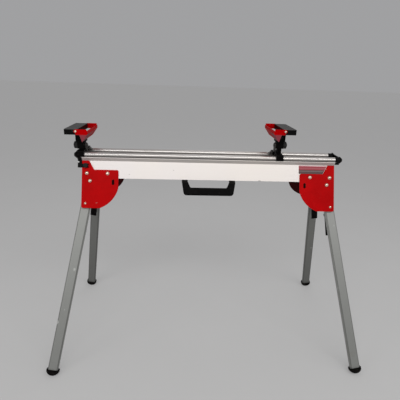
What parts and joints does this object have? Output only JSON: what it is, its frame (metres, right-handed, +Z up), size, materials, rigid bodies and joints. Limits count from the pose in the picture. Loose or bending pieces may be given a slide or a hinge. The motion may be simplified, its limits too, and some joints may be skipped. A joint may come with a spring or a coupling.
{
  "type": "miter saw stand",
  "caption": "Folding miter saw stand: sloped aluminium beam with round rails, folding splayed legs with lock levers, telescoping end arms and height-adjustable work supports with stops",
  "frame": {"origin": "on the ground, under the middle of the stand", "axes": "+X along the beam to the viewer's right, +Y away from the viewer to the rear, +Z up"},
  "size_m": [1.3949, 0.7504, 1.0436],
  "materials": {
    "red_paint": "satin powder coat",
    "beam_aluminium": "clear anodised extrusion",
    "leg_aluminium": "grey anodised tube",
    "tube_steel": "drawn tube",
    "nickel_bolts": "nickel plated",
    "zinc_steel": "zinc plated",
    "bracket_steel": "dark grey coat",
    "black_plastic": "moulded, fine grain",
    "black_casting": "black coat",
    "grey_plastic": "moulded, fine grain",
    "foot_rubber": "moulded rubber"
  },
  "bodies": {
    "frame": {"beam": "beam_aluminium", "front_left_plate": "red_paint", "front_right_plate": "red_paint", "rear_left_plate": "red_paint", "rear_right_plate": "red_paint", "plate_bolts": "nickel_bolts", "pivot_bolts": "nickel_bolts", "leg_brackets": "bracket_steel", "carry_handle": "black_plastic", "handle_screws": "zinc_steel"},
    "front_left_leg": {"front_left_leg": "leg_aluminium", "front_left_foot": "foot_rubber", "front_left_lever_bracket": "bracket_steel", "front_left_lever_spring": "zinc_steel"},
    "front_left_lever": {"front_left_lever": "black_plastic"},
    "front_left_lock_pin": {"front_left_lock_pin": "zinc_steel"},
    "front_right_leg": {"front_right_leg": "leg_aluminium", "front_right_foot": "foot_rubber", "front_right_lever_bracket": "bracket_steel", "front_right_lever_spring": "zinc_steel"},
    "front_right_lever": {"front_right_lever": "black_plastic"},
    "front_right_lock_pin": {"front_right_lock_pin": "zinc_steel"},
    "rear_left_leg": {"rear_left_leg": "leg_aluminium", "rear_left_foot": "foot_rubber", "rear_left_lever_bracket": "bracket_steel", "rear_left_lever_spring": "zinc_steel"},
    "rear_left_lever": {"rear_left_lever": "black_plastic"},
    "rear_left_lock_pin": {"rear_left_lock_pin": "zinc_steel"},
    "rear_right_leg": {"rear_right_leg": "leg_aluminium", "rear_right_foot": "foot_rubber", "rear_right_lever_bracket": "bracket_steel", "rear_right_lever_spring": "zinc_steel"},
    "rear_right_lever": {"rear_right_lever": "black_plastic"},
    "rear_right_lock_pin": {"rear_right_lock_pin": "zinc_steel"},
    "left_arm": {"left_arm_tubes": "tube_steel", "left_end_bracket": "black_casting", "left_lock_strap": "bracket_steel", "left_strap_screw": "zinc_steel"},
    "left_lock_knob": {"left_lock_knob": "black_plastic"},
    "left_saddle": {"left_saddle": "black_casting"},
    "left_rest": {"left_sleeve": "black_casting", "left_rest_plate": "black_plastic", "left_stop_screws": "nickel_bolts", "left_clamp_nut": "bracket_steel"},
    "left_height_knob": {"left_height_knob": "black_plastic"},
    "left_stop": {"left_stop": "red_paint"},
    "left_clamp_lever": {"left_clamp_lever": "grey_plastic"},
    "right_arm": {"right_arm_tubes": "tube_steel", "right_end_bracket": "black_casting", "right_lock_strap": "bracket_steel", "right_strap_screw": "zinc_steel"},
    "right_lock_knob": {"right_lock_knob": "black_plastic"},
    "right_saddle": {"right_saddle": "black_casting"},
    "right_rest": {"right_sleeve": "black_casting", "right_rest_plate": "black_plastic", "right_stop_screws": "nickel_bolts", "right_clamp_nut": "bracket_steel"},
    "right_height_knob": {"right_height_knob": "black_plastic"},
    "right_stop": {"right_stop": "red_paint"},
    "right_clamp_lever": {"right_clamp_lever": "grey_plastic"}
  },
  "joints": [
    {"name": "front_left_leg_fold", "type": "hinge", "parent": "frame", "child": "front_left_leg", "pos_m": [-0.5246, -0.06097, 0.7932], "axis": [0.0481, -0.9367, 0.3468], "range_deg": [0, 95]},
    {"name": "front_left_lever_squeeze", "type": "hinge", "parent": "front_left_leg", "child": "front_left_lever", "pos_m": [-0.549, -0.08944, 0.66198], "axis": [-0.9836, 0.0159, 0.1795], "range_deg": [0, 14], "stiffness_Nm_per_rad": 0.6},
    {"name": "front_left_pin_draw", "type": "slide", "parent": "front_left_leg", "child": "front_left_lock_pin", "axis": [-0.0481, 0.9367, -0.3468], "range_m": [0, 0.01072]},
    {"name": "front_right_leg_fold", "type": "hinge", "parent": "frame", "child": "front_right_leg", "pos_m": [0.5246, -0.06097, 0.7932], "axis": [-0.0138, 0.9339, -0.3573], "range_deg": [0, 95]},
    {"name": "front_right_lever_squeeze", "type": "hinge", "parent": "front_right_leg", "child": "front_right_lever", "pos_m": [0.54777, -0.0895, 0.66177], "axis": [-0.9847, -0.0747, -0.1574], "range_deg": [0, 14], "stiffness_Nm_per_rad": 0.6},
    {"name": "front_right_pin_draw", "type": "slide", "parent": "front_right_leg", "child": "front_right_lock_pin", "axis": [-0.0138, 0.9339, -0.3573], "range_m": [0, 0.01072]},
    {"name": "rear_left_leg_fold", "type": "hinge", "parent": "frame", "child": "rear_left_leg", "pos_m": [-0.5246, 0.06097, 0.7932], "axis": [-0.0481, -0.9367, -0.3468], "range_deg": [0, 95]},
    {"name": "rear_left_lever_squeeze", "type": "hinge", "parent": "rear_left_leg", "child": "rear_left_lever", "pos_m": [-0.549, 0.08944, 0.66198], "axis": [0.9836, 0.0159, -0.1795], "range_deg": [0, 14], "stiffness_Nm_per_rad": 0.6},
    {"name": "rear_left_pin_draw", "type": "slide", "parent": "rear_left_leg", "child": "rear_left_lock_pin", "axis": [-0.0481, -0.9367, -0.3468], "range_m": [0, 0.01072]},
    {"name": "rear_right_leg_fold", "type": "hinge", "parent": "frame", "child": "rear_right_leg", "pos_m": [0.5246, 0.06097, 0.7932], "axis": [0.0138, 0.9339, 0.3573], "range_deg": [0, 95]},
    {"name": "rear_right_lever_squeeze", "type": "hinge", "parent": "rear_right_leg", "child": "rear_right_lever", "pos_m": [0.54777, 0.0895, 0.66177], "axis": [0.9847, -0.0747, 0.1574], "range_deg": [0, 14], "stiffness_Nm_per_rad": 0.6},
    {"name": "rear_right_pin_draw", "type": "slide", "parent": "rear_right_leg", "child": "rear_right_lock_pin", "axis": [-0.0138, -0.9339, -0.3573], "range_m": [0, 0.01072]},
    {"name": "left_arm_slide", "type": "slide", "parent": "frame", "child": "left_arm", "axis": [-1, 0, 0], "range_m": [0, 0.4]},
    {"name": "left_lock_knob_turn", "type": "hinge", "parent": "frame", "child": "left_lock_knob", "pos_m": [-0.5416, -0.05781, 0.86206], "axis": [0, -0.9348, 0.3551], "range_deg": [0, 360]},
    {"name": "left_support_slide", "type": "slide", "parent": "left_arm", "child": "left_saddle", "axis": [1, 0, 0], "range_m": [0, 0.4]},
    {"name": "left_rest_lift", "type": "slide", "parent": "left_saddle", "child": "left_rest", "axis": [0, 0, 1], "range_m": [0, 0.03]},
    {"name": "left_height_knob_turn", "type": "hinge", "parent": "left_rest", "child": "left_height_knob", "pos_m": [-0.5685, 0, 0.94106], "axis": [-1, 0, 0], "range_deg": [0, 360]},
    {"name": "left_stop_flip", "type": "hinge", "parent": "left_rest", "child": "left_stop", "pos_m": [-0.5655, 0, 1.01506], "axis": [0, -1, 0], "range_deg": [0, 35]},
    {"name": "left_clamp_turn", "type": "hinge", "parent": "left_saddle", "child": "left_clamp_lever", "pos_m": [-0.541, 0.022, 0.92206], "axis": [0, -1, 0], "range_deg": [0, 45]},
    {"name": "right_arm_slide", "type": "slide", "parent": "frame", "child": "right_arm", "axis": [1, 0, 0], "range_m": [0, 0.4]},
    {"name": "right_lock_knob_turn", "type": "hinge", "parent": "frame", "child": "right_lock_knob", "pos_m": [0.5416, 0.05781, 0.86206], "axis": [0, 0.9348, 0.3551], "range_deg": [0, 360]},
    {"name": "right_support_slide", "type": "slide", "parent": "frame", "child": "right_saddle", "axis": [1, 0, 0], "range_m": [-0.25, 0.25]},
    {"name": "right_rest_lift", "type": "slide", "parent": "right_saddle", "child": "right_rest", "axis": [0, 0, 1], "range_m": [-0.02, 0.01]},
    {"name": "right_height_knob_turn", "type": "hinge", "parent": "right_rest", "child": "right_height_knob", "pos_m": [0.312, 0, 0.96106], "axis": [1, 0, 0], "range_deg": [0, 360]},
    {"name": "right_stop_flip", "type": "hinge", "parent": "right_rest", "child": "right_stop", "pos_m": [0.309, 0, 1.03506], "axis": [0, 1, 0], "range_deg": [0, 35]},
    {"name": "right_clamp_turn", "type": "hinge", "parent": "right_saddle", "child": "right_clamp_lever", "pos_m": [0.2845, 0.022, 0.92206], "axis": [0, 1, 0], "range_deg": [0, 45]}
  ],
  "couplings": [
    {"joint": "front_left_pin_draw", "follows": "front_left_lever_squeeze", "m_per_rad": 0.043872},
    {"joint": "front_right_pin_draw", "follows": "front_right_lever_squeeze", "m_per_rad": 0.043872},
    {"joint": "rear_left_pin_draw", "follows": "rear_left_lever_squeeze", "m_per_rad": 0.043872},
    {"joint": "rear_right_pin_draw", "follows": "rear_right_lever_squeeze", "m_per_rad": 0.043872}
  ]
}
